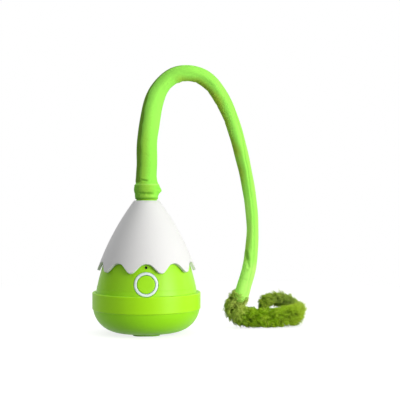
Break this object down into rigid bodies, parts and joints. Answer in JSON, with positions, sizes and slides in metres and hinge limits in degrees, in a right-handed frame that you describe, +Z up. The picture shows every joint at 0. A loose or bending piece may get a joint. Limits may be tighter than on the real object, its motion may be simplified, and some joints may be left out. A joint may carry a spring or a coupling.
{
  "type": "self-moving plush cat toy",
  "caption": "Egg-shaped two-wheel motor toy with a scalloped cap, a push button and a wired plush tail that arches to the floor and ends in a curl of long pile.",
  "frame": {"origin": "on the body's vertical axis at the floor, in the middle of the glide pad's face", "axes": "+Z up along the body's axis, -Y towards the button, +X towards the tail's arch"},
  "size_m": [0.1839, 0.1047, 0.223],
  "materials": {
    "bowl_plastic": "satin",
    "band_plastic": "gloss",
    "shell_plastic": "satin",
    "cap_plastic": "satin",
    "ring_plastic": "satin",
    "button_plastic": "satin",
    "lens_plastic": "gloss",
    "smooth_plush": "short pile",
    "long_pile": "long pile",
    "tie_rubber": "matte",
    "inner_plastic": "matte",
    "gear_plastic": "matte",
    "wheel_plastic": "matte",
    "tyre_rubber": "matte",
    "pad_plastic": "matte",
    "steel": "bare",
    "bush_brass": "bare",
    "motor_steel": "bare",
    "board_laminate": "satin",
    "cell_wrap": "gloss",
    "lead_sheath": "matte"
  },
  "bodies": {
    "shell": {"axle_bushes": "bush_brass", "ballast_weight": "steel", "base_bowl": "bowl_plastic", "battery": "cell_wrap", "battery_leads": "lead_sheath", "battery_tray": "inner_plastic", "board_screws": "steel", "bumper_band": "band_plastic", "button_board": "board_laminate", "button_leads": "lead_sheath", "cap_skirt": "cap_plastic", "charge_port": "steel", "drive_frame": "inner_plastic", "frame_screws": "steel", "glide_pad": "pad_plastic", "idler_pins": "steel", "left_motor": "motor_steel", "light_ring": "ring_plastic", "main_board": "board_laminate", "main_board_screws": "steel", "motor_leads": "lead_sheath", "motor_screws": "steel", "right_motor": "motor_steel", "sensor_lens": "lens_plastic", "shell_screws": "steel", "socket_nut": "inner_plastic", "tail_socket": "bowl_plastic", "tray_screws": "steel", "upper_shell": "shell_plastic"},
    "left_wheel_set": {"left_axle": "steel", "left_final_gear": "gear_plastic", "left_wheel": "wheel_plastic", "left_tyre": "tyre_rubber", "left_axle_clips": "steel"},
    "left_idler": {"left_idler_gear": "gear_plastic"},
    "left_motor_rotor": {"left_pinion": "bush_brass", "left_motor_shaft": "steel"},
    "right_wheel_set": {"right_axle": "steel", "right_final_gear": "gear_plastic", "right_wheel": "wheel_plastic", "right_tyre": "tyre_rubber", "right_axle_clips": "steel"},
    "right_idler": {"right_idler_gear": "gear_plastic"},
    "right_motor_rotor": {"right_pinion": "bush_brass", "right_motor_shaft": "steel"},
    "button": {"power_button": "button_plastic", "switch_plunger": "inner_plastic"},
    "tail": {"tail_plug": "inner_plastic", "tie_band": "tie_rubber", "tail_core": "steel", "tail_sleeve": "smooth_plush", "tail_tip": "long_pile"}
  },
  "joints": [
    {"name": "left_wheel_spin", "type": "hinge", "parent": "shell", "child": "left_wheel_set", "pos_m": [-0.021, 0, 0.013], "axis": [1, 0, 0], "continuous": true},
    {"name": "left_idler_spin", "type": "hinge", "parent": "shell", "child": "left_idler", "pos_m": [-0.012, -0.0089, 0.01856], "axis": [1, 0, 0], "continuous": true},
    {"name": "left_motor_spin", "type": "hinge", "parent": "shell", "child": "left_motor_rotor", "pos_m": [-0.011, -0.0194, 0.01856], "axis": [1, 0, 0], "continuous": true},
    {"name": "right_wheel_spin", "type": "hinge", "parent": "shell", "child": "right_wheel_set", "pos_m": [0.021, 0, 0.013], "axis": [1, 0, 0], "continuous": true},
    {"name": "right_idler_spin", "type": "hinge", "parent": "shell", "child": "right_idler", "pos_m": [0.012, 0.0089, 0.01856], "axis": [1, 0, 0], "continuous": true},
    {"name": "right_motor_spin", "type": "hinge", "parent": "shell", "child": "right_motor_rotor", "pos_m": [0.011, 0.0194, 0.01856], "axis": [1, 0, 0], "continuous": true},
    {"name": "button_press", "type": "slide", "parent": "shell", "child": "button", "axis": [0, 1, 0], "range_m": [0, 0.0008], "stiffness_N_per_m": 1000, "springref_m": -0.0008},
    {"name": "tail_pull_off", "type": "slide", "parent": "shell", "child": "tail", "axis": [0, 0, 1], "range_m": [0, 0.013]}
  ],
  "couplings": [
    {"joint": "left_idler_spin", "follows": "left_wheel_spin", "ratio": -3.2},
    {"joint": "left_motor_spin", "follows": "left_wheel_spin", "ratio": 10.24},
    {"joint": "right_idler_spin", "follows": "right_wheel_spin", "ratio": -3.2},
    {"joint": "right_motor_spin", "follows": "right_wheel_spin", "ratio": 10.24}
  ]
}
